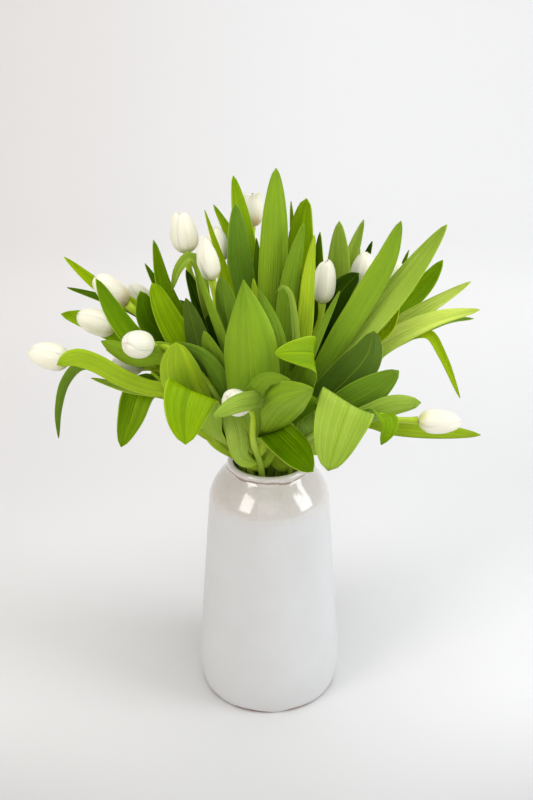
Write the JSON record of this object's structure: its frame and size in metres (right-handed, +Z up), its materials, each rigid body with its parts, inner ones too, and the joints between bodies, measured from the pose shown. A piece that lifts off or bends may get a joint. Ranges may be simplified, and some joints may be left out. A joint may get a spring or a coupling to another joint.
{
  "type": "tulips in a vase",
  "caption": "Closed white tulips with long folded leaves, fanning out of a round-shouldered glazed stoneware vase that holds water.",
  "frame": {"origin": "middle of the vase's flat foot, on the surface that the vase stands on", "axes": "+Z up along the vase's axis, -Y towards the bunch's front, from which the picture looks"},
  "size_m": [0.4446, 0.3386, 0.5963],
  "materials": {
    "glazed_stoneware": "light grey gloss glaze, a second dip over the shoulder",
    "water": "clear",
    "stems_and_leaves": "waxy satin, yellow-green to deep green",
    "petals": "satin, creamy white"
  },
  "bodies": {
    "root": {"vase": "glazed_stoneware", "water": "water", "low_front_greens": "stems_and_leaves", "low_front_bloom": "petals", "left_front_greens": "stems_and_leaves", "left_front_bloom": "petals", "far_left_greens": "stems_and_leaves", "far_left_bloom": "petals", "left_low_greens": "stems_and_leaves", "left_low_bloom": "petals", "left_mid_greens": "stems_and_leaves", "left_mid_bloom": "petals", "left_high_greens": "stems_and_leaves", "left_high_bloom": "petals", "left_back_greens": "stems_and_leaves", "left_back_bloom": "petals", "top_left_greens": "stems_and_leaves", "top_left_bloom": "petals", "high_left_greens": "stems_and_leaves", "high_left_bloom": "petals", "high_middle_greens": "stems_and_leaves", "high_middle_bloom": "petals", "top_middle_greens": "stems_and_leaves", "top_middle_bloom": "petals", "centre_right_greens": "stems_and_leaves", "centre_right_bloom": "petals", "right_high_greens": "stems_and_leaves", "right_high_bloom": "petals", "right_top_greens": "stems_and_leaves", "right_top_bloom": "petals", "right_mid_greens": "stems_and_leaves", "right_mid_bloom": "petals", "low_right_greens": "stems_and_leaves", "low_right_bloom": "petals", "back_left_greens": "stems_and_leaves", "back_left_bloom": "petals", "back_middle_greens": "stems_and_leaves", "back_middle_bloom": "petals", "back_right_greens": "stems_and_leaves", "back_right_bloom": "petals"}
  },
  "joints": []
}
